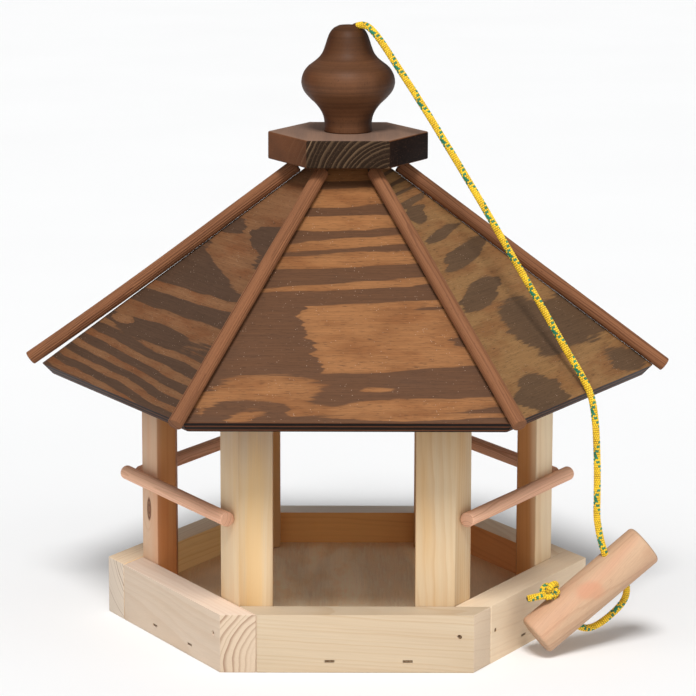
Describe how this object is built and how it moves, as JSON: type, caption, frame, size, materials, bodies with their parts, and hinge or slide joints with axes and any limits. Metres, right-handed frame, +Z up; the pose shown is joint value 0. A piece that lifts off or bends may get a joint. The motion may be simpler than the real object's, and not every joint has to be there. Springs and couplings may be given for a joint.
{
  "type": "hanging bird feeder",
  "caption": "Hexagonal wooden bird feeder with an open tray, corner posts, perches, a stained plywood roof with hip battens, a turned finial and a rope with a wooden toggle.",
  "frame": {"origin": "centre of the tray's underside, on the surface the feeder stands on", "axes": "+Z up; -Y is the flat front side; +X is to the right when seen from the front, through two opposite corners of the hexagon"},
  "size_m": [0.4489, 0.3908, 0.4191],
  "materials": {
    "spruce": "planed, untreated, edges lightly eased",
    "floor_plywood": "rough softwood plywood, untreated",
    "beech": "turned dowel, untreated",
    "stained_plywood": "softwood plywood with a brown glaze, bold grain",
    "stained_beech": "dowel with a brown glaze",
    "dark_stained_wood": "dark brown stain, matt",
    "pine": "turned, smooth, untreated",
    "rope": "braided polypropylene, yellow with green tracer strands",
    "steel": "bright wire"
  },
  "bodies": {
    "feeder": {"base_board_front": "spruce", "base_board_front_right": "spruce", "base_board_back_right": "spruce", "base_board_back": "spruce", "base_board_back_left": "spruce", "base_board_front_left": "spruce", "floor_panel": "floor_plywood", "corner_post_right": "spruce", "corner_post_back_right": "spruce", "corner_post_back_left": "spruce", "corner_post_left": "spruce", "corner_post_front_left": "spruce", "corner_post_front_right": "spruce", "perch_front_right": "beech", "perch_back_right": "beech", "perch_back_left": "beech", "perch_front_left": "beech", "roof_panel_front": "stained_plywood", "roof_panel_front_right": "stained_plywood", "roof_panel_back_right": "stained_plywood", "roof_panel_back": "stained_plywood", "roof_panel_back_left": "stained_plywood", "roof_panel_front_left": "stained_plywood", "hip_dowel_right": "stained_beech", "hip_dowel_back_right": "stained_beech", "hip_dowel_back_left": "stained_beech", "hip_dowel_left": "stained_beech", "hip_dowel_front_left": "stained_beech", "hip_dowel_front_right": "stained_beech", "cap_block": "dark_stained_wood", "finial": "dark_stained_wood", "hanging_rope": "rope", "rope_in_bore": "rope", "rope_stop_knot": "rope", "rope_end_knot": "rope", "corner_brad_front": "steel", "corner_brad_front_right": "steel", "corner_brad_back_right": "steel", "corner_brad_back": "steel", "corner_brad_back_left": "steel", "corner_brad_front_left": "steel", "post_brad_front": "steel", "post_brad_front_right": "steel", "post_brad_back_right": "steel", "post_brad_back": "steel", "post_brad_back_left": "steel", "post_brad_front_left": "steel", "floor_staple_front_1": "steel", "floor_staple_front_2": "steel", "floor_staple_front_right_1": "steel", "floor_staple_front_right_2": "steel", "floor_staple_back_right_1": "steel", "floor_staple_back_right_2": "steel", "floor_staple_back_1": "steel", "floor_staple_back_2": "steel", "floor_staple_back_left_1": "steel", "floor_staple_back_left_2": "steel", "floor_staple_front_left_1": "steel", "floor_staple_front_left_2": "steel"},
    "toggle": {"hanging_toggle": "pine"}
  },
  "joints": [
    {"name": "toggle_slide", "type": "slide", "parent": "feeder", "child": "toggle", "axis": [0.5242, 0.3505, -0.7761], "range_m": [0, 0.005]}
  ]
}
